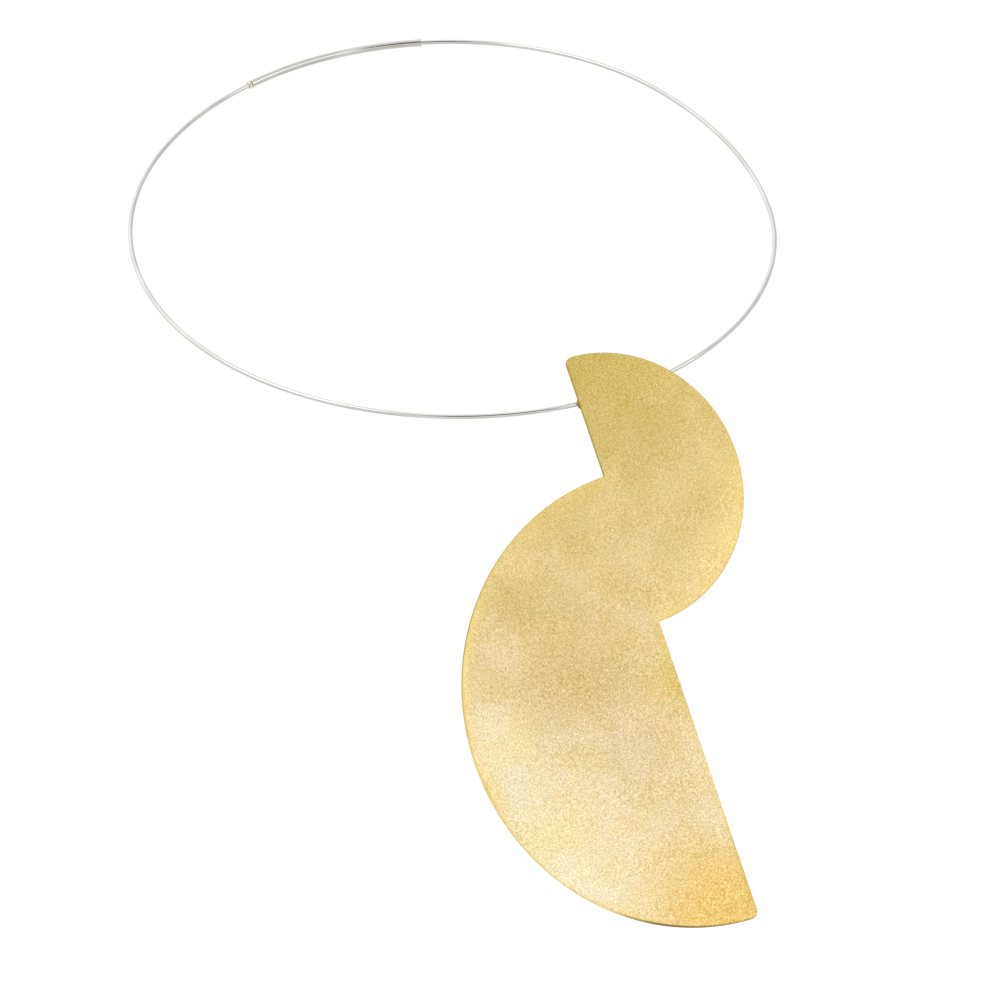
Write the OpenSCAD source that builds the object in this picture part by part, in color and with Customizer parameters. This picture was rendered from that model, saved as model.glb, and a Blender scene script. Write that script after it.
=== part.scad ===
// Pendant choker: a rigid neck wire closed by a push-in sleeve at the nape, with a flat gold
// pendant of two offset half discs that swings on the wire by a tube soldered to its back.
// Origin: the middle of the neck opening. The front faces -Y, +X is to the right seen from the
// front, and the ring slopes up to the nape. All sizes are in millimetres.

/* [Neck wire] */
// Diameter of the round wire
wire_d = 1.0; // [0.8:0.05:1.1]
// Slope of the ring, nape above front, in degrees
ring_slope = 45; // [30:1:55]
// From the middle of the neck to the middle of the wire at the front, and at the nape
front_reach = 75; // [65:1:80]
// How far the ring is out of round: 0 is a circle
out_of_round = 1.2; // [0:0.05:1.5]

/* [Clasp] */
// Outer diameter of the sleeve that closes the ring
sleeve_d = 1.65; // [1.6:0.05:1.8]
// Bore of the sleeve
sleeve_bore = 1.15; // [1.15:0.01:1.2]
// Diameter of the thin rim at the sleeve's mouth
rim_d = 1.95; // [1.85:0.05:2.4]
// Length of the round bead that ends the sleeve, along the wire
bead_length = 0.8; // [0.6:0.1:1.2]

/* [Pendant] */
// Radius of the small half disc, on the right
small_r = 30; // [25:0.1:34]
// Radius of the large half disc, on the left
large_r = 50; // [45:0.1:56]
// How far the large half disc starts below the small one, along their straight line
disc_offset = 26.7; // [18:0.1:34]
// How much more than half of its disc the small one keeps, across its straight side
small_more = 0.8; // [0:0.1:2]
// Thickness of the plate
plate_t = 0.8; // [0.6:0.1:2]
// Rounding of the two outer corners
corner_r = 1.7; // [0.5:0.1:3]
// From the middle of the bail tube to the small half disc's straight side, towards the left
line_out = 8.2; // [5:0.1:9]
// How far the large half disc's straight side lies to the right of the small one's
line_step = 1.2; // [0.5:0.1:2]
// Height of the plate's top above the middle of the bail tube
top_above_bail = 10.2; // [6:0.1:16]

/* [Bail tube] */
// Wall of the tube soldered to the back
bail_wall = 0.3; // [0.18:0.01:0.4]
// Gap between the wire and the tube where they come closest
bail_gap = 0.07; // [0.05:0.01:0.15]
// How far short of the plate's straight side the tube ends
bail_inset = 0.3; // [0.25:0.05:2]
// How deep the solder seats the tube into the plate
solder_depth = 0.15; // [0.1:0.01:0.2]

/* [Hidden] */

// Four bends make the ring. They meet where their outward directions have the slopes of a
// triangle with sides of 7, 24 and 25, so their centres lie on such a triangle too, the ends of
// neighbours are one and the same circle, and the ring closes exactly.
meet = atan2(7, 24);
corner_bend_r = front_reach - 24 * 7 / 25 * out_of_round;
right_bend_r = corner_bend_r + 24 * out_of_round;
left_bend_r = corner_bend_r + 7 * out_of_round;
right_centre = [-24 * 24 / 25 * out_of_round, 0];
left_centre = [7 * 7 / 25 * out_of_round, 0];
nape_centre = [0, front_reach - corner_bend_r];
front_centre = -nape_centre;

// Outward directions, counted from +X towards the nape, between which the sleeve lies, and
// between which the wire's two ends leave a space inside it
sleeve_from = 68;
sleeve_to = 105;
plug_end = 84;
fixed_end = 92;
rim_length = 0.35;
bead_gap = 0.05;
bead_bore = wire_d + 0.1;

// The tube is straight and the wire in it is curved, so the bore leaves room for how far the
// wire bows over the tube's length, and the tube's axis lies inside the wire's line at the
// front by half of that
bail_length = 2 * (line_out - bail_inset);
wire_bow = corner_bend_r - sqrt(corner_bend_r ^ 2 - (bail_length / 2) ^ 2);
bail_reach = front_reach - wire_bow / 2;
bail_bore = wire_d + wire_bow + 2 * bail_gap;
bail_d = bail_bore + 2 * bail_wall;

// Heights of the two half discs' centres against the bail tube's axis
small_z = top_above_bail - small_r;
large_z = top_above_bail - disc_offset - large_r;
// Where the plate lies in front of the bail tube's axis
plate_back = bail_d / 2 - solder_depth;
// Volumes, and with them the centre of mass and the tilt that brings it plumb under the axis
small_volume = (PI * small_r / 2 + 2 * small_more) * small_r * plate_t;
large_volume = PI * large_r ^ 2 / 2 * plate_t;
tube_volume = PI * (bail_d ^ 2 - bail_bore ^ 2) / 4 * bail_length;
pendant_volume = small_volume + large_volume + tube_volume;
mass_forward = (small_volume + large_volume) * (plate_back + plate_t / 2) / pendant_volume;
mass_down = -(small_volume * small_z + large_volume * large_z) / pendant_volume;
hang_tilt = atan(mass_forward / mass_down);

function outward(angle) = [cos(angle), sin(angle)];

module in_ring_plane() {
    rotate([ring_slope, 0, 0])
        children();
}

// A slice of the ring's plane between two outward directions from a bend's centre
module slice(from, to) {
    far = 200;
    thick = 4;
    linear_extrude(thick, center = true)
        polygon([
            [0, 0],
            for (k = [0 : 4]) far * outward(from + (to - from) * k / 4)
        ]);
}

module wire_bend(centre, r, from, to) {
    translate(centre)
        intersection() {
            rotate_extrude($fn = 360)
                translate([r, 0])
                    circle(d = wire_d, $fn = 32);
            slice(from, to);
        }
}

// The wire runs from its plugged end, round the front, to the end fixed in the sleeve
module neck_wire() {
    color("silver")
        in_ring_plane() {
            wire_bend(right_centre, right_bend_r, -meet, meet);
            wire_bend(nape_centre, corner_bend_r, meet, plug_end);
            wire_bend(nape_centre, corner_bend_r, fixed_end, 90 + meet);
            wire_bend(left_centre, left_bend_r, 90 + meet, 270 - meet);
            wire_bend(front_centre, corner_bend_r, 270 - meet, 360 - meet);
        }
}

// A tube along the bend at the nape
module nape_tube(outer_d, from, to) {
    translate(nape_centre)
        rotate_extrude(angle = to - from, start = from, $fn = 360)
            translate([corner_bend_r, 0])
                difference() {
                    circle(d = outer_d, $fn = 48);
                    circle(d = sleeve_bore, $fn = 48);
                }
}

module clasp_sleeve() {
    rim_turn = rim_length / corner_bend_r * 180 / PI;
    color("lightgray")
        in_ring_plane() {
            nape_tube(sleeve_d, sleeve_from, sleeve_to);
            nape_tube(rim_d, sleeve_from, sleeve_from + rim_turn);
        }
}

// A half round bead on the wire, just past the closed end of the sleeve
module clasp_bead() {
    bead_at = sleeve_to + (bead_gap + bead_length / 2) / corner_bend_r * 180 / PI;
    color("gold")
        in_ring_plane()
            translate(nape_centre + corner_bend_r * outward(bead_at))
                rotate([90, 0, bead_at])
                    rotate_extrude($fn = 48)
                        intersection() {
                            translate([bead_bore / 2, 0])
                                circle(d = bead_length, $fn = 48);
                            translate([bead_bore / 2, -bead_length])
                                square(2 * bead_length);
                        }
}

// The part of a disc to the right of the line x = 0, with its upper corner rounded. It is half
// of the disc and a strip as wide as more. The rounding circle is a hair larger than one that
// only touches, so it crosses the disc's edge cleanly.
module half_disc(r, more) {
    reach = r - corner_r;
    corner_centre = [corner_r, sqrt(reach ^ 2 - (corner_r - more) ^ 2)];
    hair = 0.002;
    past = r + more + 1;
    intersection() {
        translate([more, 0])
            circle(r = r, $fn = 240);
        translate([0, -past])
            square([past, 2 * past]);
        union() {
            translate(corner_centre)
                circle(r = corner_r + hair, $fn = 48);
            polygon([
                [-past, corner_centre.y],
                corner_centre,
                [more, 0] + (corner_centre - [more, 0]) * past / reach,
                [past, past],
                [past, -past],
                [-past, -past]
            ]);
        }
    }
}

module plate_outline() {
    translate([-line_out, small_z])
        half_disc(small_r, small_more);
    translate([line_step - line_out, large_z])
        rotate(180)
            half_disc(large_r, 0);
}

module bail_rod(d, length) {
    rotate([0, 90, 0])
        cylinder(d = d, h = length, center = true, $fn = 64);
}

// Built with the bail tube's axis on X, then tilted plumb and hung on the wire
module pendant() {
    color("goldenrod")
        in_ring_plane()
            translate([0, -bail_reach, 0])
                rotate([hang_tilt - ring_slope, 0, 0])
                    difference() {
                        union() {
                            translate([0, -plate_back, 0])
                                rotate([90, 0, 0])
                                    linear_extrude(plate_t)
                                        plate_outline();
                            bail_rod(bail_d, bail_length);
                        }
                        bail_rod(bail_bore, bail_length + 1);
                    }
}

neck_wire();
clasp_sleeve();
clasp_bead();
pendant();
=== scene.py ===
# %% [markdown]
# # Dressing a pendant choker
# The necklace is a stiff round wire that closes at the nape with a push-in sleeve. A flat gold
# plate, cut as two half discs that share one straight line, swings on it by a tube soldered to
# its back. The solids come from the CAD frame, which says where every piece is. This lesson
# gives them smooth meshes and metal finishes, and lights them for their picture.

# %% Load the frame
import math

import bpy
from mathutils import Matrix, Vector


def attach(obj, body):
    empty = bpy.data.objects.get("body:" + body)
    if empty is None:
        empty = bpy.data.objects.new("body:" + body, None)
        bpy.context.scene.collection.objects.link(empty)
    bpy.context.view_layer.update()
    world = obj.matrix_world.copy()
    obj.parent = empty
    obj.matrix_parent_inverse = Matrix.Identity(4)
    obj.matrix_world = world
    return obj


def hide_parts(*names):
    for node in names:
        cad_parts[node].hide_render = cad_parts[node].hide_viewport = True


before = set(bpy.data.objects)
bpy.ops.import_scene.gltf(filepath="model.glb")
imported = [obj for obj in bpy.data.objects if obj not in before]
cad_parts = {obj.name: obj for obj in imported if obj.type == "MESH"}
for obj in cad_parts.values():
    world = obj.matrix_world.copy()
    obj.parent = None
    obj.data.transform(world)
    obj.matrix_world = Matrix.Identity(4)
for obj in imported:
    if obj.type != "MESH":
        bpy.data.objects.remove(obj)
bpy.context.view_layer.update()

MM = 0.001


def in_mm(lengths):
    """Lengths in millimetres, for printing."""
    return [round(length / MM, 2) for length in lengths]


# %% [markdown]
# ## The camera
# Small goods are pictured with a long lens from far away, so that the near side of the ring
# isn't drawn much larger than the far side. The camera's turn is given by two angles round the
# necklace and by how much it is rolled about its own line of sight: the necklace was pictured
# turned a little in its own plane. The three directions of a camera are the columns of its
# rotation, so they are worked out first.

# %% Place the camera
AZIMUTH, ELEVATION, ROLL = (math.radians(v) for v in (-20.512, -5.059, -19.206))
CAMERA_PLACE = Vector((-0.53248, -1.39026, -0.19389))
LENS, SENSOR = 241.54, 36.0
NEAREST, FARTHEST = 0.05, 50

back = Vector((math.sin(AZIMUTH) * math.cos(ELEVATION),
               -math.cos(AZIMUTH) * math.cos(ELEVATION), math.sin(ELEVATION)))
level_right = Vector((math.cos(AZIMUTH), math.sin(AZIMUTH), 0))
level_up = back.cross(level_right)
right = math.cos(ROLL) * level_right + math.sin(ROLL) * level_up
up = math.cos(ROLL) * level_up - math.sin(ROLL) * level_right

camera_data = bpy.data.cameras.new("picture_camera")
camera_data.lens, camera_data.sensor_width = LENS, SENSOR
camera_data.clip_start, camera_data.clip_end = NEAREST, FARTHEST
camera = bpy.data.objects.new("picture_camera", camera_data)
camera.matrix_world = Matrix.Translation(CAMERA_PLACE) @ Matrix(
    (right, up, back)).transposed().to_4x4()
bpy.context.collection.objects.link(camera)
bpy.context.scene.camera = camera
print("camera is", round(CAMERA_PLACE.length, 3), "m from the middle of the ring")

# %% [markdown]
# ## Sizes of the ring
# The ring is four bends of wire that meet where their outward directions slope like a triangle
# with sides of 7, 24 and 25, which makes it a little out of round. It lies in a plane that
# slopes up to the nape. What sits on it is worked out flat, where it is easier to reckon, and
# one matrix then tips it up into that plane. The sizes are those of the CAD solids.

# %% Work out the ring's bends
SLOPE = math.radians(45)
WIRE_D = 1.0 * MM
FRONT_REACH = 75 * MM
OUT_OF_ROUND = 1.2 * MM
MEET = math.atan2(7, 24)
CORNER_BEND = FRONT_REACH - 24 * 7 / 25 * OUT_OF_ROUND
RIGHT_BEND = CORNER_BEND + 24 * OUT_OF_ROUND
LEFT_BEND = CORNER_BEND + 7 * OUT_OF_ROUND
NAPE_CENTRE = Vector((0, FRONT_REACH - CORNER_BEND, 0))
RIGHT_CENTRE = Vector((-24 * 24 / 25 * OUT_OF_ROUND, 0, 0))
LEFT_CENTRE = Vector((7 * 7 / 25 * OUT_OF_ROUND, 0, 0))

ring_turn = Matrix.Rotation(SLOPE, 4, "X")
print("bends, mm:", in_mm((CORNER_BEND, RIGHT_BEND, LEFT_BEND)))

# %% [markdown]
# ## Where the pendant hangs
# The bail tube's straight bore rides on the curved wire, so its axis lies a little inside the
# wire's line. The plate is in front of the tube, so the pendant leans back until its weight is
# under the axis. The sizes below are those of the CAD solid, and give the same lean. The pendant
# will be drawn round the tube's middle, and the last matrix hangs it on the wire.

# %% Work out the pendant's place
SMALL_R, LARGE_R, DISC_OFFSET, LINE_STEP = 30 * MM, 50 * MM, 26.7 * MM, 1.2 * MM
SMALL_MORE, LARGE_MORE = 0.8 * MM, 0.0
PLATE_T, CORNER_R, LINE_OUT, TOP_ABOVE_BAIL = 0.8 * MM, 1.7 * MM, 8.2 * MM, 10.2 * MM
BAIL_WALL, BAIL_GAP, BAIL_INSET, SOLDER_DEPTH = 0.3 * MM, 0.07 * MM, 0.3 * MM, 0.15 * MM

bail_length = 2 * (LINE_OUT - BAIL_INSET)
wire_bow = CORNER_BEND - math.sqrt(CORNER_BEND ** 2 - (bail_length / 2) ** 2)
bail_bore = WIRE_D + wire_bow + 2 * BAIL_GAP
bail_d = bail_bore + 2 * BAIL_WALL
plate_back = bail_d / 2 - SOLDER_DEPTH
small_z = TOP_ABOVE_BAIL - SMALL_R
large_z = TOP_ABOVE_BAIL - DISC_OFFSET - LARGE_R
small_volume, large_volume = ((math.pi * r / 2 + 2 * more) * r * PLATE_T
                              for r, more in ((SMALL_R, SMALL_MORE), (LARGE_R, LARGE_MORE)))
forward = (small_volume + large_volume) * (plate_back + PLATE_T / 2)
down = -(small_volume * small_z + large_volume * large_z)
lean = math.atan(forward / down)
hang = (ring_turn @ Matrix.Translation((0, -FRONT_REACH + wire_bow / 2, 0))
        @ Matrix.Rotation(lean - SLOPE, 4, "X"))
print("lean, degrees:", round(math.degrees(lean), 3), "bail at, mm:", in_mm(hang.translation))

# %% [markdown]
# ## A way to build trees of nodes
# Geometry Nodes and materials are both trees of nodes. Adding a node, setting it up and linking
# its inputs takes many lines, so a few helpers do it: an input is given either a value or the
# output that feeds it. The kinds of node that come up again and again get a helper each, above
# all the Map Range node, which makes a mask out of any value that grows.

# %% Helpers for node trees
SOFT = "SMOOTHSTEP"


def feed(tree, node, inputs):
    """Give a node's inputs values, or links from the outputs of other nodes."""
    for name, source in inputs.items():
        if isinstance(source, bpy.types.NodeSocket):
            tree.links.new(source, node.inputs[name])
        else:
            node.inputs[name].default_value = source


def add(tree, kind, inputs=None, **settings):
    """Add a node, give it settings and feed its inputs."""
    node = tree.nodes.new(kind)
    for name, value in settings.items():
        setattr(node, name, value)
    feed(tree, node, inputs or {})
    return node


def calc(tree, operation, *values):
    """A Math node's output."""
    return add(tree, "ShaderNodeMath", dict(enumerate(values)), operation=operation).outputs[0]


def vector_calc(tree, operation, *values):
    """A Vector Math node's outputs, named Vector and Value."""
    return add(tree, "ShaderNodeVectorMath", dict(enumerate(values)), operation=operation).outputs


def fade(tree, value, start, stop, low=0.0, high=1.0, ends="LINEAR"):
    """A mask that is low where a value is at start and high where it is at stop."""
    return add(tree, "ShaderNodeMapRange",
               {"Value": value, "From Min": start, "From Max": stop, "To Min": low,
                "To Max": high}, interpolation_type=ends).outputs[0]


print("node helpers:", *(helper.__name__ for helper in (add, calc, vector_calc, fade)))

# %% [markdown]
# A tree of its own, or a group that other trees use, has named inputs and outputs. They are made
# on its interface first, and inside the tree two end nodes show them as sockets.

# %% A helper that starts a tree
def start_tree(name, kind, inputs, outputs):
    """A new tree or node group with named inputs and outputs, and its two end nodes."""
    tree = bpy.data.node_groups.new(name, kind)
    for label, socket in outputs:
        tree.interface.new_socket(label, in_out="OUTPUT", socket_type=socket)
    for label, socket, value in inputs:
        made = tree.interface.new_socket(label, in_out="INPUT", socket_type=socket)
        if value is not None:
            made.default_value = value
    return tree, tree.nodes.new("NodeGroupInput").outputs, tree.nodes.new("NodeGroupOutput")


print("groups so far:", len(bpy.data.node_groups))

# %% [markdown]
# ## Fine grain, a node group
# The plate's satin was made by blasting or brushing it with something fine: it is covered with
# short, slightly worm-like grains about a third of a millimetre wide, some catching the light
# and some in shade. The polished pieces have finer and much shallower marks, from drawing and
# buffing. So the grain is a node group with its own size, and each material takes its height or
# its specks. A little distortion in the noise turns round dots into short curls. The noise is
# read at the point's own place on the piece, so it stays put when the piece moves.

# %% Make the grain group
FLOAT, VECTOR = "NodeSocketFloat", "NodeSocketVector"


def own_place(tree):
    """Where a point is on its own piece, in metres."""
    return add(tree, "ShaderNodeTexCoord").outputs["Object"]


def noise(tree, size, detail, roughness, distortion=0.0):
    """Noise with spots of about the given size."""
    return add(tree, "ShaderNodeTexNoise",
               {"Vector": own_place(tree), "Scale": calc(tree, "DIVIDE", 1.0, size),
                "Detail": detail, "Roughness": roughness, "Distortion": distortion}).outputs[0]


grain_group, grain_in, grain_out = start_tree(
    "Fine grain", "ShaderNodeTree", [("Grain Size", FLOAT, 0.5 * MM), ("Curl", FLOAT, 0.6)],
    [("Height", FLOAT), ("Specks", FLOAT)])
grains = noise(grain_group, grain_in["Grain Size"], detail=2.0, roughness=0.65,
               distortion=grain_in["Curl"])
feed(grain_group, grain_out,
     {"Height": grains, "Specks": fade(grain_group, grains, start=0.32, stop=0.68)})
print("group:", grain_group.name)

# %% [markdown]
# ## Cloudy tone, a node group
# No hand finish is even. Every centimetre or so the metal is a little brighter or duller, where
# the tool lingered or where it was held. A slow noise gives soft patches, used by every metal of
# the necklace at its own patch size.

# %% Make the cloud group
cloud_group, cloud_in, cloud_out = start_tree(
    "Cloudy tone", "ShaderNodeTree", [("Patch Size", FLOAT, 30 * MM)], [("Patches", FLOAT)])
drift = noise(cloud_group, cloud_in["Patch Size"], detail=2.5, roughness=0.5)
feed(cloud_group, cloud_out, {"Patches": fade(cloud_group, drift, start=0.3, stop=0.7, ends=SOFT)})
print("group:", cloud_group.name)

# %% [markdown]
# ## Round patches, a node group
# Some tones belong to a place: the rim of a disc carries a brighter painted reflection than its
# middle, and a spot of painted sheen is paler than the metal round it. Both are told by the
# distance from a centre, seen from the front. This group's mask is 0 at one distance and 1 at
# another. Where the second is the larger one, the mask is a rim, and where the second is nothing,
# it is a spot.

# %% Make the round patch group
SEEN_FROM_FRONT = (1, 0, 1)

round_group, round_in, round_out = start_tree(
    "Round patch", "ShaderNodeTree",
    [("Centre", VECTOR, (0, 0, 0)), ("None At", FLOAT, 10 * MM), ("Full At", FLOAT, 0.0)],
    [("Mask", FLOAT)])
flat_place = vector_calc(round_group, "MULTIPLY", own_place(round_group), SEEN_FROM_FRONT)
away = vector_calc(round_group, "DISTANCE", flat_place["Vector"], round_in["Centre"])
feed(round_group, round_out,
     {"Mask": fade(round_group, away["Value"], round_in["None At"], round_in["Full At"],
                   ends=SOFT)})
print("group:", round_group.name)

# %% [markdown]
# ## Starting a material
# Every metal here is one Principled shader. Groups are placed in its material with their own
# values, and their masks mix its colours. A Mix node has sockets for each type of data, and
# those for colours are found by their numbers. Marks too fine for the mesh go in as relief,
# which throws the light as if they were there.

# %% Helpers for materials
MIX_FACTOR, MIX_FIRST, MIX_SECOND, MIX_RESULT = 0, 6, 7, 2


def start_material(name, metallic=1.0):
    """A material with one shader, ready for its colours and marks."""
    material = bpy.data.materials.new(name)
    material.use_nodes = True
    tree = material.node_tree
    shader = tree.nodes["Principled BSDF"]
    feed(tree, shader, {"Metallic": metallic})
    return material, tree, shader


def grouped(tree, group, values):
    """The outputs of a node group that is placed in a material with its own values."""
    return add(tree, "ShaderNodeGroup", values, node_tree=group).outputs


def mixed(tree, factor, first, second, blend="MIX"):
    """A colour that goes from the first to the second as the factor goes from 0 to 1."""
    return add(tree, "ShaderNodeMix",
               {MIX_FACTOR: factor, MIX_FIRST: first, MIX_SECOND: second},
               data_type="RGBA", blend_type=blend).outputs[MIX_RESULT]


def relief(tree, height, strength, depth):
    """A normal that makes a smooth surface look as if it had this height."""
    return add(tree, "ShaderNodeBump",
               {"Height": height, "Strength": strength, "Distance": depth}).outputs[0]


print("material helpers:", *(helper.__name__ for helper in (grouped, mixed, relief)))

# %% [markdown]
# ## Silver tone for the wire and sleeve
# The wire and its sleeve are polished steel, which throws back about two thirds of the light. A
# polished wire shows its surroundings as thin lines along its length, so its look comes from
# the lights. The material stays nearly a mirror: the cloud group dulls it a little in places,
# and the grain gives its finest marks.

# %% Make the silver materials
STEEL, STEEL_DULL = (0.67, 0.665, 0.64, 1), (0.585, 0.58, 0.55, 1)
TUBE, TUBE_DULL = (0.64, 0.635, 0.61, 1), (0.55, 0.545, 0.515, 1)
BUFFED_PATCH, BUFFED_GRAIN, BUFFED_DEPTH = 12 * MM, 0.2 * MM, 0.02 * MM


def polished(name, bright, dull, rough, bump):
    """A polished metal with soft patches and the finest of grain."""
    material, tree, shader = start_material(name)
    patches = grouped(tree, cloud_group, {"Patch Size": BUFFED_PATCH})["Patches"]
    marks = grouped(tree, grain_group, {"Grain Size": BUFFED_GRAIN, "Curl": 0.0})["Height"]
    feed(tree, shader, {"Base Color": mixed(tree, patches, bright, dull),
                        "Roughness": fade(tree, patches, 0.0, 1.0, *rough),
                        "Normal": relief(tree, marks, bump, BUFFED_DEPTH)})
    return material


polished_wire = polished("polished_wire", STEEL, STEEL_DULL, rough=(0.04, 0.1), bump=0.08)
drawn_tube = polished("drawn_tube", TUBE, TUBE_DULL, rough=(0.1, 0.2), bump=0.2)
print("materials:", polished_wire.name, drawn_tube.name)

# %% [markdown]
# ## Polished gold for the bead and the bail tube
# The small turned pieces are buffed too. The bead is a very pale gold that looks nearly white
# where it catches the light. The bail tube is as yellow as the plate and a little duller than
# the bead, as metal is after soldering.

# %% Make the polished golds
BEAD, BEAD_DULL = (0.84, 0.79, 0.65, 1), (0.60, 0.54, 0.38, 1)
BAIL, BAIL_DULL = (1.0, 0.80, 0.36, 1), (0.92, 0.68, 0.26, 1)

pale_bead = polished("pale_bead", BEAD, BEAD_DULL, rough=(0.06, 0.14), bump=0.2)
bail_gold = polished("bail_gold", BAIL, BAIL_DULL, rough=(0.25, 0.4), bump=0.2)
print("materials:", pale_bead.name, bail_gold.name)

# %% [markdown]
# ## Satin gold for the plate
# The plate's face is matt gold with a visible grain. Down the plate it goes from a deep greenish
# gold to a pale one, with brown, cream and amber in places: painted light, the studio's
# reflections and shade laid into the colour of a flat plate. That is many golds, so each gets a
# name before the material is built. The last three rows are tints: a colour is multiplied by them,
# and a value above 1 makes it lighter.

# %% Choose the plate's golds
# The deep and the pale gold are the two ends of a painted gradient of light down the plate.
DEEP_GOLD, PALE_GOLD = (0.565, 0.415, 0.073, 1), (0.81, 0.63, 0.33, 1)
RIM_GOLD, AMBER_GOLD = (0.87, 0.65, 0.18, 1), (1.0, 0.74, 0.28, 1)
TIP_GOLD, BROWN_GOLD = (0.92, 0.565, 0.035, 1), (0.65, 0.44, 0.13, 1)
OLIVE_GOLD, YELLOW_GOLD = (0.49, 0.36, 0.05, 1), (0.74, 0.52, 0.07, 1)
CREAM_GOLD, COOL_GOLD = (1.0, 0.93, 0.68, 1), (0.73, 0.57, 0.34, 1)
WARM_GOLD, HONEY_GOLD = (0.90, 0.65, 0.34, 1), (0.88, 0.68, 0.10, 1)
# Side golds are painted light: paler low on the plate as painted reflection, and painted shade
# underneath. The edge gold is the painted shade of the hairline along the edges.
SIDE_GOLD, SIDE_PALE = (0.50, 0.37, 0.06, 1), (0.92, 0.75, 0.34, 1)
SIDE_SHADE, EDGE_SHADE_GOLD = (0.10, 0.062, 0.016, 1), (0.27, 0.18, 0.03, 1)
GLINT, SHEEN = (1.0, 0.94, 0.66, 1), (1.0, 0.90, 0.60, 1)
SHADE_ABOVE, SHADE_BELOW = (0.70, 0.64, 0.50, 1), (0.69, 0.63, 0.43, 1)
YELLOWER, CREAMIER = (0.98, 0.94, 0.74, 1), (1.01, 1.04, 1.22, 1)
WARM_SPECK, COOL_SPECK = (1.04, 0.95, 0.84, 1), (0.97, 1.04, 1.16, 1)
print("the pale gold's red, green and blue:", PALE_GOLD[:3])

# %% [markdown]
# ### Tones that belong to a place
# The rims carry a brighter painted reflection, and a darker hairline of painted shade runs along
# the edges, darkest underneath. Each of these tones is one entry in a list: a round patch, its
# strength and its colour. The patches are centred on the middles of the half discs, with heights
# counted from the bail tube, to a tenth of a millimetre. A later entry lies on top of the ones
# before it.

# %% List the rims
BAIL_Z = round(hang.translation.z, 4)
SMALL_DISC = (SMALL_MORE - LINE_OUT, 0, BAIL_Z + small_z), SMALL_R
LARGE_DISC = (LINE_STEP - LINE_OUT, 0, BAIL_Z + large_z), LARGE_R


def rim(disc, band, strength, colour, inset=0.0):
    """A band along the rim of a disc, its width and its inset in millimetres."""
    middle, radius = disc
    full_at = radius - inset * MM
    return {"Centre": middle, "None At": full_at - band * MM, "Full At": full_at}, strength, colour


# Bands of painted reflection along the rims, and a honey band of painted reflection.
small_rim_reflections = [rim(SMALL_DISC, 13, 0.35, RIM_GOLD), rim(SMALL_DISC, 4, 0.45, RIM_GOLD)]
large_rim_reflections = [rim(LARGE_DISC, 2.5, 0.7, AMBER_GOLD)]
large_honey_reflection = [rim(LARGE_DISC, 5, 0.22, HONEY_GOLD)]
# Thin darker bands just inside the edges: painted shade.
small_edge_shade = [rim(SMALL_DISC, 0.5, 0.2, SIDE_GOLD, inset=0.1)]
large_edge_shade = [rim(LARGE_DISC, 0.5, 0.2, SIDE_GOLD, inset=0.1)]
low_edge_shade = [rim(LARGE_DISC, 0.42, 1.0, EDGE_SHADE_GOLD, inset=0.17)]
print("middles of the discs, mm:", in_mm(SMALL_DISC[0]), in_mm(LARGE_DISC[0]))

# %% [markdown]
# On the large half disc lie a brown patch in the middle, a cream cheek at the lower left and
# amber at the tip, and fainter tones lie between them. They are painted light and shade, and the
# cream cheek is a painted highlight. Each is a soft round spot or a few that overlap, because no
# patch of reflected light is one circle. The two on the rim are listed apart, because they lie on
# top of the rim's own tone.

# %% List the spots
def spot(across, down, reach, strength, colour):
    """A soft round spot, its place counted from the bail tube, in millimetres."""
    return ({"Centre": (across * MM, 0, BAIL_Z - down * MM), "None At": reach * MM,
             "Full At": 0.0}, strength, colour)


# Spots of painted light and shade; the cream ones are painted highlights.
spots = [spot(-29, 54, 17, 0.9, BROWN_GOLD), spot(-46, 94, 36, 1.0, CREAM_GOLD),
         spot(-53, 66, 17, 0.75, CREAM_GOLD), spot(-34, 108, 18, 0.6, CREAM_GOLD),
         spot(-14, 113, 27, 0.95, TIP_GOLD), spot(-9, -6, 24, 0.8, OLIVE_GOLD),
         spot(-22, 74, 17, 0.5, COOL_GOLD), spot(-5, 62, 14, 1.0, YELLOW_GOLD),
         spot(-4, 80, 11, 0.5, RIM_GOLD), spot(-6, 83, 9, 0.3, CREAM_GOLD),
         spot(-7, 93, 10, 0.6, CREAM_GOLD), spot(14, 42, 14, 0.6, RIM_GOLD),
         spot(-19, 57, 12, 0.45, DEEP_GOLD), spot(5, 13, 13, 0.45, OLIVE_GOLD),
         spot(-25, 41, 10, 0.35, DEEP_GOLD), spot(-36, 88, 15, 0.5, WARM_GOLD),
         spot(-37, 39, 9, 0.3, OLIVE_GOLD), spot(-34, 30, 6, 0.5, PALE_GOLD),
         spot(-43, 44, 9, 0.6, PALE_GOLD), spot(-20, 15, 9, 0.6, DEEP_GOLD),
         spot(20, 26, 10, 0.2, RIM_GOLD)]
rim_spots = [spot(-50, 92, 22, 1.0, CREAM_GOLD), spot(-14, 116, 17, 1.0, TIP_GOLD)]
print(len(spots) + len(rim_spots), "spots on the plate")

# %% [markdown]
# ### Masks that go with the place
# The rims' painted reflections don't reach high on each disc, and the darkest line of painted
# shade lies only underneath, so their masks are multiplied by masks that go with the height and
# the side.
# A band of honey, painted reflection too, follows the large half disc's rim only from the notch to
# where the tip begins. The product of two masks is 1 only where both are, as two stencils laid
# together leave open only what both leave open.

# %% Start the satin gold with its masks
TIP_LINE_STRENGTH = 0.25

plate_gold, gold_tree, gold_shader = start_material("plate_gold")
gold_axes = add(gold_tree, "ShaderNodeSeparateXYZ", {0: own_place(gold_tree)}).outputs


def down_plate(start, stop):
    """A mask that goes from 0 to 1 between two depths below the bail tube, in millimetres."""
    return fade(gold_tree, gold_axes["Z"], BAIL_Z - start * MM, BAIL_Z - stop * MM)


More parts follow.
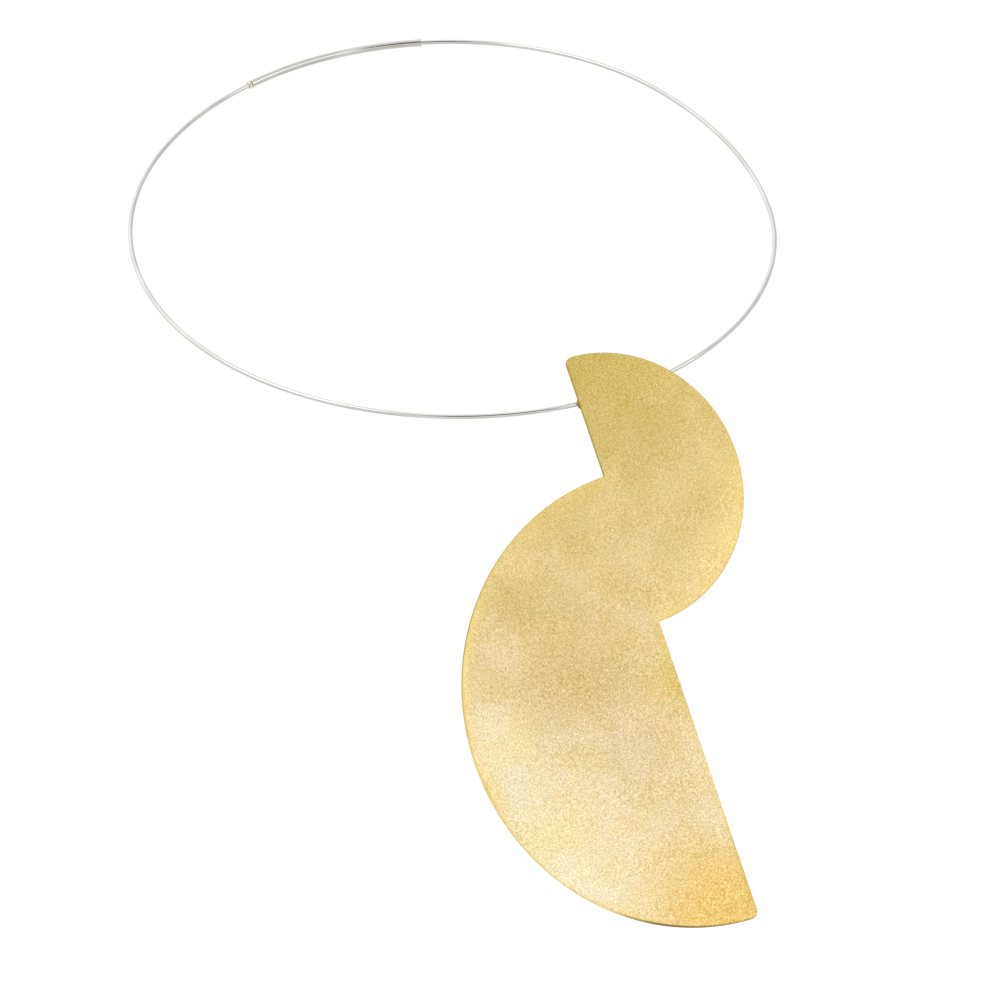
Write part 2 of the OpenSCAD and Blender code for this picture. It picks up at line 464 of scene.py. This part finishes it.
def across_plate(start, stop, low=0.0):
    """A mask that goes from low to 1 between two places across, in millimetres."""
    return fade(gold_tree, gold_axes["X"], start * MM, stop * MM, low)


def both(first, second):
    """The product of two masks."""
    return calc(gold_tree, "MULTIPLY", first, second)


right_half = across_plate(-9.5, -5.5)
left_half = calc(gold_tree, "SUBTRACT", 1.0, right_half)
# The slope mask carries the painted gradient of light, deep at the top and pale lower down.
slope = down_plate(-7.9, 82.1)
below_notch, tip_half = down_plate(15.5, 17), down_plate(88, 98)
right_rim, left_rim = both(right_half, down_plate(12, 32)), both(left_half, down_plate(28, 44))
above_tip = both(left_half, calc(gold_tree, "SUBTRACT", below_notch, tip_half))
# Where painted shade goes: under the large half disc, and a faint line by the straight side near
# the tip.
underside = both(left_half, down_plate(105, 111))
low_line = both(underside, across_plate(-8, -26, low=0.35))
tip_line = both(both(across_plate(-7.8, -7.2), tip_half), TIP_LINE_STRENGTH)
print("masks so far:", len(gold_tree.nodes), "nodes")

# %% [markdown]
# ### Laying the tones
# The slope from deep to pale gold, a painted gradient of light, comes first, made uneven by the
# cloud group. Then the lists of painted reflections and shade are laid on it, each kept to its own
# mask.

# %% Lay the tones on the plate
CLOUD, CLOUD_SHIFT = 10 * MM, 0.15


def laid_on(colour_below, layers):
    """Lay round patches on a colour, each layer kept to its own mask where it has one."""
    for within, round_patches in layers:
        for values, strength, colour in round_patches:
            mask = both(grouped(gold_tree, round_group, values)["Mask"], strength)
            if within is not None:
                mask = both(mask, within)
            colour_below = mixed(gold_tree, mask, colour_below, colour)
    return colour_below


clouds = grouped(gold_tree, cloud_group, {"Patch Size": CLOUD})["Patches"]
pale = calc(gold_tree, "ADD", slope,
            fade(gold_tree, clouds, 0.0, 1.0, low=-CLOUD_SHIFT, high=CLOUD_SHIFT))
tone = laid_on(mixed(gold_tree, pale, DEEP_GOLD, PALE_GOLD),
               [(right_rim, small_rim_reflections), (None, spots), (left_rim, large_rim_reflections),
                (None, rim_spots), (above_tip, large_honey_reflection)])
print("with its tones:", len(gold_tree.nodes), "nodes")

# %% [markdown]
# ### Blotches and grain
# Round patches alone would look airbrushed, because real metal is never that even. So blotches
# a few millimetres wide shift the tone between yellow and cream, and the grain shifts it again
# speck by speck, in hue and in lightness, more so down the plate.

# %% Break up the tone
BLOTCH, GRAIN, HUE_GRAIN, GRAIN_CURL = 7 * MM, 0.34 * MM, 0.7 * MM, 0.8
GLINT_STRENGTH = 0.5


def tinted(colour, tint):
    """A colour multiplied by a tint."""
    return mixed(gold_tree, 1.0, colour, tint, "MULTIPLY")


blotches = grouped(gold_tree, cloud_group, {"Patch Size": BLOTCH})["Patches"]
blotched = tinted(tone, mixed(gold_tree, blotches, YELLOWER, CREAMIER))
tone = mixed(gold_tree, fade(gold_tree, slope, 0.0, 1.0, low=0.35), tone, blotched)
hues = grouped(gold_tree, grain_group, {"Grain Size": HUE_GRAIN, "Curl": 0.0})["Specks"]
hued = tinted(tone, mixed(gold_tree, hues, WARM_SPECK, COOL_SPECK))
tone = mixed(gold_tree, slope, tone, hued)

grain = grouped(gold_tree, grain_group, {"Grain Size": GRAIN, "Curl": GRAIN_CURL})
in_shade = tinted(tone, mixed(gold_tree, slope, SHADE_ABOVE, SHADE_BELOW))
in_light = mixed(gold_tree, GLINT_STRENGTH, tone, GLINT)
speckled = mixed(gold_tree, grain["Specks"], in_shade, in_light)
face = mixed(gold_tree, fade(gold_tree, slope, 0.0, 1.0, low=0.45), tone, speckled)
print("with its grain:", len(gold_tree.nodes), "nodes")

# %% [markdown]
# ### Edges and sides
# A hairline of painted shade along the edges covers the grain, so it is laid on last, with a
# fainter one along the straight side near the tip. The sides were sawn and filed, and are plain:
# the plate's mesh marks them with an attribute, which chooses their colour. They are paler low on
# the plate, a painted reflection, and dark underneath, painted shade. The grain that colours the
# face also gives it relief, so that bright specks stand a little proud.

# %% Finish the satin gold
SATIN, GRAIN_RELIEF, GRAIN_DEPTH, SAWN_SIDE = 0.42, 0.6, 0.12 * MM, "sawn_side"

# The edge hairlines laid on here are painted shade.
face = laid_on(mixed(gold_tree, tip_line, face, OLIVE_GOLD),
               [(right_rim, small_edge_shade), (left_rim, large_edge_shade), (low_line, low_edge_shade)])
sawn = add(gold_tree, "ShaderNodeAttribute", attribute_name=SAWN_SIDE).outputs["Fac"]
# Sides: paler low down as painted reflection, and painted shade underneath.
side = mixed(gold_tree, down_plate(44, 66), SIDE_GOLD, SIDE_PALE)
side = mixed(gold_tree, underside, side, SIDE_SHADE)
feed(gold_tree, gold_shader,
     {"Base Color": mixed(gold_tree, sawn, face, side), "Roughness": SATIN,
      "Specular Tint": SHEEN,
      "Normal": relief(gold_tree, grain["Height"], GRAIN_RELIEF, GRAIN_DEPTH)})
print("material:", plate_gold.name, "with", len(gold_tree.nodes), "nodes")

# %% [markdown]
# ## From a tree to a piece
# Geometry Nodes shape what follows a rule. Every tree here takes and gives geometry and ends in
# the same two nodes, so two helpers start and finish it.

# %% Helpers for shape trees
COUNT, MATERIAL, GEOMETRY = "NodeSocketInt", "NodeSocketMaterial", "NodeSocketGeometry"


def start_shape_tree(name, inputs):
    """A Geometry Nodes tree that takes and gives geometry."""
    return start_tree(name, "GeometryNodeTree", [("Geometry", GEOMETRY, None), *inputs],
                      [("Geometry", GEOMETRY)])


def finish_shape_tree(tree, geometry, material, result):
    """End a tree as every one here ends: instances made real, then the material."""
    real = add(tree, "GeometryNodeRealizeInstances", {"Geometry": geometry}).outputs[0]
    dressed = add(tree, "GeometryNodeSetMaterial", {"Geometry": real, "Material": material})
    feed(tree, result, {"Geometry": dressed.outputs[0]})


print("shape helpers:", start_shape_tree.__name__, finish_shape_tree.__name__)

# %% [markdown]
# A piece starts as a simple mesh object. One helper makes it, one runs a tree on it and keeps the
# result as a plain mesh, without the modifier, and one measures it: a volume below zero would
# mean that it is inside out.

# %% Helpers for pieces
def mesh_object(name, points, edges=(), faces=()):
    """A new mesh object at the origin."""
    mesh = bpy.data.meshes.new(name)
    mesh.from_pydata([tuple(p) for p in points], edges, faces)
    piece = bpy.data.objects.new(name, mesh)
    bpy.context.collection.objects.link(piece)
    return piece


def run_tree(piece, tree, values):
    """Run a tree on an object with these inputs and keep the result as its plain mesh."""
    modifier = piece.modifiers.new(tree.name, "NODES")
    modifier.node_group = tree
    for item in tree.interface.items_tree:
        if item.item_type == "SOCKET" and item.in_out == "INPUT" and item.name in values:
            modifier[item.identifier] = values[item.name]
    depsgraph = bpy.context.evaluated_depsgraph_get()
    made = bpy.data.meshes.new_from_object(piece.evaluated_get(depsgraph), depsgraph=depsgraph)
    piece.modifiers.clear()
    piece.data = made
    made.name = piece.name


def report(piece):
    """Print how many triangles a piece has and the volume inside it."""
    mesh = piece.data
    mesh.calc_loop_triangles()
    corners = [[mesh.vertices[i].co for i in t.vertices] for t in mesh.loop_triangles]
    volume = sum(a.dot(b.cross(c)) for a, b, c in corners) / 6
    print(f"{piece.name}: {len(corners)} triangles, {volume / MM ** 3:.2f} cubic mm")


print("piece helpers:", *(helper.__name__ for helper in (mesh_object, run_tree, report)))

# %% [markdown]
# ## The neck wire
# The wire is one round rod along a path, which is what Geometry Nodes are good at: they sweep a
# circle along a line of points. The tree keeps the diameter and the number of sides as inputs,
# so the same tree could draw any wire.

# %% Make the sweeping tree
sweep, sweep_in, sweep_out = start_shape_tree(
    "Wire along a path",
    [("Diameter", FLOAT, 1 * MM), ("Sides", COUNT, 16), ("Material", MATERIAL, None)])
path = add(sweep, "GeometryNodeMeshToCurve", {"Mesh": sweep_in["Geometry"]}).outputs[0]
section = add(sweep, "GeometryNodeCurvePrimitiveCircle",
              {"Resolution": sweep_in["Sides"],
               "Radius": calc(sweep, "DIVIDE", sweep_in["Diameter"], 2.0)}).outputs[0]
rod = add(sweep, "GeometryNodeCurveToMesh",
          {"Curve": path, "Profile Curve": section, "Fill Caps": True}).outputs[0]
smooth = add(sweep, "GeometryNodeSetShadeSmooth", {0: rod}).outputs[0]
finish_shape_tree(sweep, smooth, sweep_in["Material"], sweep_out)
print("tree:", sweep.name)

# %% [markdown]
# The path is a line of points through the four bends, from the end that plugs into the sleeve,
# round the front, to the end fixed in it. The bend at the nape comes first and last, because
# both ends lie on it. Points a millimetre apart are close enough for the bends to look smooth. A
# bend's first point is left out where it is the last point of the bend before.

# %% Draw the wire's path and sweep it
PLUG_END, FIXED_END = math.radians(84), math.radians(92)
QUARTER, HALF, TURN = math.pi / 2, math.pi, 2 * math.pi
PATH_SPACING, WIRE_SIDES = 1 * MM, 20


def bend_points(centre, radius, start, stop):
    """Evenly spaced points along a bend in the ring's plane, both ends included."""
    steps = max(1, round(radius * abs(stop - start) / PATH_SPACING))
    angles = [start + (stop - start) * i / steps for i in range(steps + 1)]
    return [centre + radius * Vector((math.cos(a), math.sin(a), 0)) for a in angles]


bends = [(NAPE_CENTRE, CORNER_BEND, PLUG_END, MEET),
         (RIGHT_CENTRE, RIGHT_BEND, MEET, -MEET),
         (-NAPE_CENTRE, CORNER_BEND, -MEET, -QUARTER - MEET),
         (LEFT_CENTRE, LEFT_BEND, TURN - QUARTER - MEET, QUARTER + MEET),
         (NAPE_CENTRE, CORNER_BEND, QUARTER + MEET, FIXED_END)]
wire_path = []
for bend in bends:
    wire_path += bend_points(*bend)[1 if wire_path else 0:]
wire_path = [ring_turn @ point for point in wire_path]
neck_wire = mesh_object("round_wire", wire_path, [(i, i + 1) for i in range(len(wire_path) - 1)])
run_tree(neck_wire, sweep, {"Diameter": WIRE_D, "Sides": WIRE_SIDES, "Material": polished_wire})
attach(neck_wire, "ring")
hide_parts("neck_wire")
report(neck_wire)

# %% [markdown]
# ## Turned pieces
# The sleeve, the bead and the bail tube are round tubes, made on a lathe. Each starts as the
# outline of its wall, drawn beside the axis. The corners are rounded, because no real edge is
# sharp, with an extra point next to each rounding that keeps the smooth shading from spreading
# over the long flats. Turning the outline round the axis gives the mesh.

# %% Helpers for turned pieces
ROUNDING_STEPS, EXTRA_POINT = 4, 1.4


def rounded_loop(corners, rounding, step):
    """A closed outline of (along, out) points with rounded corners and no side over a step."""
    loop = []
    corners = [Vector(c) for c in corners]
    for i, corner in enumerate(corners):
        before, after = corners[i - 1], corners[(i + 1) % len(corners)]
        to_before, to_after = (before - corner).normalized(), (after - corner).normalized()
        centre = corner + rounding * (to_before + to_after)
        loop.append(corner + to_before * rounding * EXTRA_POINT)
        for k in range(ROUNDING_STEPS + 1):
            a = QUARTER * k / ROUNDING_STEPS
            loop.append(centre - rounding * (math.cos(a) * to_after + math.sin(a) * to_before))
        loop.append(corner + to_after * rounding * EXTRA_POINT)
    filled = []
    for i, point in enumerate(loop):
        following = loop[(i + 1) % len(loop)]
        parts = max(1, math.ceil((following - point).length / step))
        filled += [point.lerp(following, k / parts) for k in range(parts)]
    return filled


def turned(name, loop, sides):
    """Turn a closed outline round the X axis into a mesh object with its faces outwards."""
    points = [(p[0], p[1] * math.cos(TURN * s / sides), p[1] * math.sin(TURN * s / sides))
              for s in range(sides) for p in loop]
    n = len(loop)
    faces = [(s * n + i, (s + 1) % sides * n + i, (s + 1) % sides * n + (i + 1) % n,
              s * n + (i + 1) % n) for s in range(sides) for i in range(n)]
    piece = mesh_object(name, points, faces=faces)
    piece.data.shade_smooth()
    return piece


print("a wall's outline has at least", 4 * (ROUNDING_STEPS + 3), "points")

# %% [markdown]
# ## Bending a straight piece along the wire
# The sleeve and the bead sit on the wire at the nape, so they follow its bend. It is easier to
# turn them straight and bend them afterwards: how far along the piece a point is becomes an
# angle round the bend's centre. That is a rule, so Geometry Nodes do it, with the bend's radius
# and the angle of the piece's start as inputs.

# %% Make the bending tree
bending, bending_in, bending_out = start_shape_tree(
    "Bend along the nape",
    [("Bend Radius", FLOAT, 67 * MM), ("Start Angle", FLOAT, 0.0), ("Centre Offset", FLOAT, 0.0),
     ("Slope", FLOAT, 0.0), ("Material", MATERIAL, None)])
straight = add(bending, "ShaderNodeSeparateXYZ",
               {0: add(bending, "GeometryNodeInputPosition").outputs[0]}).outputs
angle = calc(bending, "ADD", bending_in["Start Angle"],
             calc(bending, "DIVIDE", straight["X"], bending_in["Bend Radius"]))
out = calc(bending, "SUBTRACT", bending_in["Bend Radius"], straight["Y"])
sideways = calc(bending, "MULTIPLY", out, calc(bending, "COSINE", angle))
towards = calc(bending, "ADD", bending_in["Centre Offset"],
               calc(bending, "MULTIPLY", out, calc(bending, "SINE", angle)))
bent = add(bending, "ShaderNodeCombineXYZ", {"X": sideways, "Y": towards, "Z": straight["Z"]})
sloped = add(bending, "ShaderNodeVectorRotate",
             {"Vector": bent.outputs[0], "Angle": bending_in["Slope"]}, rotation_type="X_AXIS")
shaped = add(bending, "GeometryNodeSetPosition",
             {"Geometry": bending_in["Geometry"], "Position": sloped.outputs[0]})
finish_shape_tree(bending, shaped.outputs[0], bending_in["Material"], bending_out)
nape = {"Bend Radius": CORNER_BEND, "Centre Offset": NAPE_CENTRE.y, "Slope": SLOPE}
print("tree:", bending.name)

# %% [markdown]
# ## The sleeve
# The sleeve is a thin tube: the wire's right end pushes into its mouth, which has a thin rim,
# and its left end is fixed on the wire.

# %% Turn and bend the sleeve
SLEEVE_D, SLEEVE_BORE, RIM_D, RIM_LENGTH = 1.65 * MM, 1.15 * MM, 1.95 * MM, 0.35 * MM
SLEEVE_FROM, SLEEVE_TO = math.radians(68), math.radians(105)
SLEEVE_ROUNDING, SLEEVE_STEP, SLEEVE_SIDES = 0.05 * MM, 0.9 * MM, 40

sleeve_length = CORNER_BEND * (SLEEVE_TO - SLEEVE_FROM)
wall = [(0, SLEEVE_BORE / 2), (0, RIM_D / 2), (RIM_LENGTH, RIM_D / 2), (RIM_LENGTH, SLEEVE_D / 2),
        (sleeve_length, SLEEVE_D / 2), (sleeve_length, SLEEVE_BORE / 2)]
sleeve = turned("push_sleeve", rounded_loop(wall, SLEEVE_ROUNDING, SLEEVE_STEP), SLEEVE_SIDES)
run_tree(sleeve, bending, {**nape, "Start Angle": SLEEVE_FROM, "Material": drawn_tube})
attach(sleeve, "ring")
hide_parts("clasp_sleeve")
report(sleeve)

# %% [markdown]
# ## The bead
# Just past the sleeve's closed end sits a small bead with a round outside and a straight hole.
# Its wall is half of a circle, closed by the hole's straight line.

# %% Turn and bend the bead
BEAD_LENGTH, BEAD_GAP, BEAD_BORE = 0.8 * MM, 0.05 * MM, 1.1 * MM
BEAD_STEPS, BEAD_SIDES = 16, 40

half_turns = [HALF * k / BEAD_STEPS for k in range(BEAD_STEPS + 1)]
half_round = [Vector((BEAD_GAP + BEAD_LENGTH / 2 * (1 - math.cos(a)),
                      BEAD_BORE / 2 + BEAD_LENGTH / 2 * math.sin(a))) for a in half_turns]
bead = turned("gold_bead", half_round, BEAD_SIDES)
run_tree(bead, bending, {**nape, "Start Angle": SLEEVE_TO, "Material": pale_bead})
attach(bead, "ring")
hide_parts("clasp_bead")
report(bead)

# %% [markdown]
# ## The plate
# The plate's outline follows a rule: two half discs on one line, the large one turned the other
# way and set lower, each with one rounded corner. So Geometry Nodes draw it, out of arcs that
# are moved into place and joined.

# %% Helpers for the plate's trees
def moved(tree, geometry, x, y, turned_by=0.0):
    """Geometry turned on the floor and then moved over it."""
    place = add(tree, "ShaderNodeCombineXYZ", {"X": x, "Y": y}).outputs[0]
    return add(tree, "GeometryNodeTransform",
               {"Geometry": geometry, "Translation": place,
                "Rotation": (0, 0, turned_by)}).outputs[0]


def joined(tree, *parts):
    """Several pieces of geometry as one."""
    join = add(tree, "GeometryNodeJoinGeometry")
    for part in parts:
        feed(tree, join, {0: part})
    return join.outputs[0]


print("plate helpers:", moved.__name__, joined.__name__)

# %% [markdown]
# A small group draws one half disc's edge, from its notch to its rounded corner. It numbers the
# points, with the corner's numbers after those of the round side, because joined arcs don't say
# in what order to string their points on one line.

# %% Make the tree for a half disc's edge
CORNER_POINTS, ONE_POINT_ON, CORNER_COMES_AFTER = 12, 0.001, 0.5

edge_tree, edge_in, edge_out = start_tree(
    "Half disc edge", "GeometryNodeTree",
    [("Radius", FLOAT, 30 * MM), ("Corner Radius", FLOAT, 1 * MM), ("More Than Half", FLOAT, 0.0),
     ("Start Across", FLOAT, 0.0), ("First Number", FLOAT, 0.0), ("Points", COUNT, 64)],
    [("Curve", GEOMETRY)])
reach = calc(edge_tree, "SUBTRACT", edge_in["Radius"], edge_in["Corner Radius"])
corner_out = calc(edge_tree, "SUBTRACT", edge_in["Corner Radius"], edge_in["More Than Half"])
turn = calc(edge_tree, "ARCCOSINE", calc(edge_tree, "DIVIDE", corner_out, reach))
corner_up = calc(edge_tree, "MULTIPLY", reach, calc(edge_tree, "SINE", turn))
start_out = calc(edge_tree, "SUBTRACT", edge_in["Start Across"], edge_in["More Than Half"])
skipped = calc(edge_tree, "ARCSINE", calc(edge_tree, "DIVIDE", start_out, edge_in["Radius"]))
start = calc(edge_tree, "ADD", -QUARTER, skipped)


def numbered_arc(points, radius, start_angle, stop_angle, extra):
    """An arc whose points are numbered from the first number and an extra."""
    arc = add(edge_tree, "GeometryNodeCurveArc",
              {"Resolution": points, "Radius": radius, "Start Angle": start_angle,
               "Sweep Angle": calc(edge_tree, "SUBTRACT", stop_angle, start_angle)},
              mode="RADIUS")
    index = add(edge_tree, "GeometryNodeInputIndex").outputs[0]
    first = calc(edge_tree, "ADD", edge_in["First Number"], extra)
    number = calc(edge_tree, "ADD", first, calc(edge_tree, "MULTIPLY", index, ONE_POINT_ON))
    return add(edge_tree, "GeometryNodeStoreNamedAttribute",
               {"Geometry": arc.outputs[0], "Name": "number", "Value": number},
               data_type="FLOAT", domain="POINT").outputs[0]


round_side = numbered_arc(edge_in["Points"], edge_in["Radius"], start, turn, 0.0)
corner = numbered_arc(CORNER_POINTS, edge_in["Corner Radius"], turn, HALF, CORNER_COMES_AFTER)
corner = moved(edge_tree, corner, corner_out, corner_up)
edge = moved(edge_tree, joined(edge_tree, round_side, corner), edge_in["More Than Half"], 0.0)
feed(edge_tree, edge_out, {"Curve": edge})
print("tree:", edge_tree.name)

# %% [markdown]
# The plate's tree calls that group twice, and turns and places the results. The large edge's
# numbers start where those of the small one have ended.

# %% Start the plate's tree with its two edges
SMALL_POINTS, LARGE_POINTS = 120, 180

plate_tree, plate_in, plate_out = start_shape_tree(
    "Plate of two half discs",
    [("Small Radius", FLOAT, 30 * MM), ("Large Radius", FLOAT, 50 * MM),
     ("Corner Radius", FLOAT, 1 * MM), ("Small Across", FLOAT, 0.0), ("Line Step", FLOAT, 0.0),
     ("Small Up", FLOAT, 0.0), ("Large Up", FLOAT, 0.0), ("Small More", FLOAT, 0.0),
     ("Large More", FLOAT, 0.0), ("Thickness", FLOAT, 1 * MM), ("Material", MATERIAL, None)])
large_across = calc(plate_tree, "ADD", plate_in["Small Across"], plate_in["Line Step"])


def half_disc_edge(size, first_number, points, line_at, turned_by):
    """The edge of the Small or the Large half disc, in its place beside the straight line."""
    drawn = add(plate_tree, "GeometryNodeGroup",
                {"Radius": plate_in[f"{size} Radius"], "Corner Radius": plate_in["Corner Radius"],
                 "More Than Half": plate_in[f"{size} More"], "Start Across": plate_in["Line Step"],
                 "First Number": first_number, "Points": points}, node_tree=edge_tree)
    return moved(plate_tree, drawn.outputs[0], line_at, plate_in[f"{size} Up"], turned_by)


edges = joined(plate_tree,
               half_disc_edge("Small", 0.0, SMALL_POINTS, plate_in["Small Across"], 0.0),
               half_disc_edge("Large", 1.0, LARGE_POINTS, large_across, HALF))
print("tree so far:", len(plate_tree.nodes), "nodes")

# %% [markdown]
# The points of both edges are strung on one closed line in the order of their numbers, and the
# line is filled and given thickness. The faces that this adds round the edge are marked as sawn
# sides, for the material to find them. Extruding leaves the far side open, so a copy of the
# filled sheet, turned over, closes it.

# %% Finish the plate's tree
SAME_PLACE = 1e-6


def welded(geometry):
    """Geometry with the points that share a place made one."""
    return add(plate_tree, "GeometryNodeMergeByDistance",
               {"Geometry": geometry, "Distance": SAME_PLACE}).outputs[0]


dots = add(plate_tree, "GeometryNodeCurveToPoints", {"Curve": edges}, mode="EVALUATED")
number = add(plate_tree, "GeometryNodeInputNamedAttribute", {"Name": "number"}, data_type="FLOAT")
string = add(plate_tree, "GeometryNodePointsToCurves",
             {"Points": dots.outputs[0], "Weight": number.outputs[0]})
closed = add(plate_tree, "GeometryNodeSetSplineCyclic",
             {"Geometry": string.outputs[0], "Cyclic": True})
filled = add(plate_tree, "GeometryNodeFillCurve", {"Curve": closed.outputs[0]}, mode="NGONS")
sheet = welded(filled.outputs[0])
thick = add(plate_tree, "GeometryNodeExtrudeMesh",
            {"Mesh": sheet, "Offset Scale": plate_in["Thickness"], "Individual": False})
marked = add(plate_tree, "GeometryNodeStoreNamedAttribute",
             {"Geometry": thick.outputs["Mesh"], "Name": SAWN_SIDE,
              "Value": thick.outputs["Side"]}, data_type="FLOAT", domain="FACE")
under = add(plate_tree, "GeometryNodeFlipFaces", {"Mesh": sheet})
whole = welded(joined(plate_tree, marked.outputs[0], under.outputs[0]))
finish_shape_tree(plate_tree, whole, plate_in["Material"], plate_out)
print("tree:", plate_tree.name)

# %% [markdown]
# The tree draws flat on the floor, so the plate is stood up, moved in front of the bail tube and
# hung with it. Its place goes into the mesh, and the object stays at the origin. A Bevel
# modifier then softens the sawn edges.

# %% Cut the plate, stand it up and soften its edges
EDGE_SOFTENING, SOFTENING_STEPS, SHARP_ANGLE = 0.12 * MM, 3, math.radians(50)

plate = mesh_object("half_disc_plate", [(0, 0, 0)])
run_tree(plate, plate_tree,
         {"Small Radius": SMALL_R, "Large Radius": LARGE_R, "Corner Radius": CORNER_R,
          "Small Across": -LINE_OUT, "Line Step": LINE_STEP, "Small Up": small_z,
          "Large Up": large_z, "Small More": SMALL_MORE, "Large More": LARGE_MORE,
          "Thickness": PLATE_T, "Material": plate_gold})
stand_up = Matrix.Translation((0, -plate_back, 0)) @ Matrix.Rotation(QUARTER, 4, "X")
plate.data.transform(hang @ stand_up)
plate.data.shade_smooth()
bevel = plate.modifiers.new("soft_edges", "BEVEL")
bevel.width, bevel.segments = EDGE_SOFTENING, SOFTENING_STEPS
bevel.limit_method, bevel.angle_limit = "ANGLE", SHARP_ANGLE
bevel.harden_normals = True
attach(plate, "drop")
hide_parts("pendant")
report(plate)

# %% [markdown]
# ## The bail tube
# A short straight tube is soldered across the plate's back, and only its end shows past the
# straight edge. Its ends are filed round, so that they don't cut into the wire.

# %% Turn the bail tube and hang it
BAIL_ROUNDING, BAIL_STEP, BAIL_SIDES = 0.12 * MM, 2 * MM, 48

half_length = bail_length / 2
wall = [(-half_length, bail_bore / 2), (-half_length, bail_d / 2), (half_length, bail_d / 2),
        (half_length, bail_bore / 2)]
bail = turned("bail_tube", rounded_loop(wall, BAIL_ROUNDING, BAIL_STEP), BAIL_SIDES)
bail.data.transform(hang)
bail.data.materials.append(bail_gold)
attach(bail, "drop")
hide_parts("pendant")
report(bail)

# %% [markdown]
# ## The floor
# The picture was taken on plain white. The floor is a matt white sheet for everything that
# reflects it, and pure white for the camera, so that it melts into the background as a lit
# white sheet does. The shader asks the light path which of the two it is.

# %% Lay the floor
FLOOR_Z, FLOOR_REACH, MATT = -0.22, 6, 0.9
SHEET_WHITE, WHITE, PURE_WHITE_GLOW = (0.8, 0.8, 0.8, 1), (1, 1, 1, 1), 1.05

corners = [(x * FLOOR_REACH, y * FLOOR_REACH, FLOOR_Z)
           for x, y in ((-1, -1), (1, -1), (1, 1), (-1, 1))]
floor = mesh_object("floor", corners, faces=[(0, 1, 2, 3)])
floor_white, floor_tree, floor_shader = start_material("floor_white", metallic=0.0)
feed(floor_tree, floor_shader, {"Base Color": SHEET_WHITE, "Roughness": MATT})
seen = add(floor_tree, "ShaderNodeLightPath").outputs["Is Camera Ray"]
glow = add(floor_tree, "ShaderNodeEmission", {"Color": WHITE, "Strength": PURE_WHITE_GLOW})
chosen = add(floor_tree, "ShaderNodeMixShader",
             {0: seen, 1: floor_shader.outputs[0], 2: glow.outputs[0]})
feed(floor_tree, floor_tree.nodes["Material Output"], {"Surface": chosen.outputs[0]})
floor.data.materials.append(floor_white)
print("floor at", FLOOR_Z, "m")

# %% [markdown]
# ## The surroundings
# Polished metal is seen by what it reflects. Round the necklace stands a tent of white cloth,
# brightest overhead and a little to the left, where the lamps shine through it. In front it has
# a tall narrow opening that the picture is taken through, and a polished wire shows it as a dark
# line wherever it points the right way. The world's shader draws the tent from the direction
# alone: the closer a direction is to the middle of the opening, with heights counted less, the
# darker it is. A camera ray that meets nothing gets plain white.

# %% Make the world
OPENING, HEIGHTS_LESS = Vector((-0.14, -0.98, -0.1)), Vector((1, 1, 0.45))
OPENING_EDGE, OPENING_INSIDE, OPENING_DARK = 0.92, 0.975, 0.03
UP_LEFT = (-0.35, 0.15, 0.92)
CLOTH_FRONT, CLOTH_BEHIND, OVERHEAD_GLOW = 0.84, 0.8, 0.5

world = bpy.data.worlds.new("studio")
bpy.context.scene.world = world
world.use_nodes = True
tent_tree = world.node_tree
tent_tree.nodes.clear()
direction = add(tent_tree, "ShaderNodeTexCoord").outputs["Generated"]
axes = add(tent_tree, "ShaderNodeSeparateXYZ", {0: direction}).outputs
above = vector_calc(tent_tree, "DOT_PRODUCT", direction, UP_LEFT)["Value"]
overhead = fade(tent_tree, above, start=0.35, stop=0.95, high=OVERHEAD_GLOW, ends=SOFT)
behind = fade(tent_tree, axes["Y"], start=0.2, stop=0.9, low=CLOTH_FRONT, high=CLOTH_BEHIND,
              ends=SOFT)
squashed = vector_calc(tent_tree, "MULTIPLY", direction, HEIGHTS_LESS)["Vector"]
squashed = vector_calc(tent_tree, "NORMALIZE", squashed)["Vector"]
facing = vector_calc(tent_tree, "DOT_PRODUCT", squashed, (OPENING * HEIGHTS_LESS).normalized())
opening = fade(tent_tree, facing["Value"], OPENING_EDGE, OPENING_INSIDE, 1.0, OPENING_DARK, SOFT)
cloth = calc(tent_tree, "MULTIPLY", calc(tent_tree, "ADD", overhead, behind), opening)
tent = add(tent_tree, "ShaderNodeBackground", {"Color": WHITE, "Strength": cloth})
plain = add(tent_tree, "ShaderNodeBackground", {"Color": WHITE, "Strength": PURE_WHITE_GLOW})
seen = add(tent_tree, "ShaderNodeLightPath").outputs["Is Camera Ray"]
chosen = add(tent_tree, "ShaderNodeMixShader", {0: seen, 1: tent.outputs[0], 2: plain.outputs[0]})
add(tent_tree, "ShaderNodeOutputWorld", {"Surface": chosen.outputs[0]})
print("world:", world.name)

# %% [markdown]
# ## The lamps
# The tent gives an even light, and two large soft lamps shape it: one high at the front left,
# and one low at the front right, which the plate throws towards the camera.

# %% Set up the lamps
def soft_light(name, place, aim, width, power):
    """A square soft light that looks at a point."""
    data = bpy.data.lights.new(name, "AREA")
    data.size, data.energy = width, power
    lamp = bpy.data.objects.new(name, data)
    lamp.location = place
    lamp.rotation_euler = (Vector(aim) - Vector(place)).to_track_quat("-Z", "Y").to_euler()
    lamp.visible_camera = False
    bpy.context.collection.objects.link(lamp)


soft_light("high_left", place=(-1.2, -1.2, 1.4), aim=(0, 0, -0.05), width=1.4, power=6)
soft_light("low_right", place=(0.7, -1.3, -0.05), aim=(0, -0.05, -0.12), width=1.2, power=4.6)
bpy.context.scene.view_settings.view_transform = "Standard"
print("lamps:", [lamp.name for lamp in bpy.data.lights])
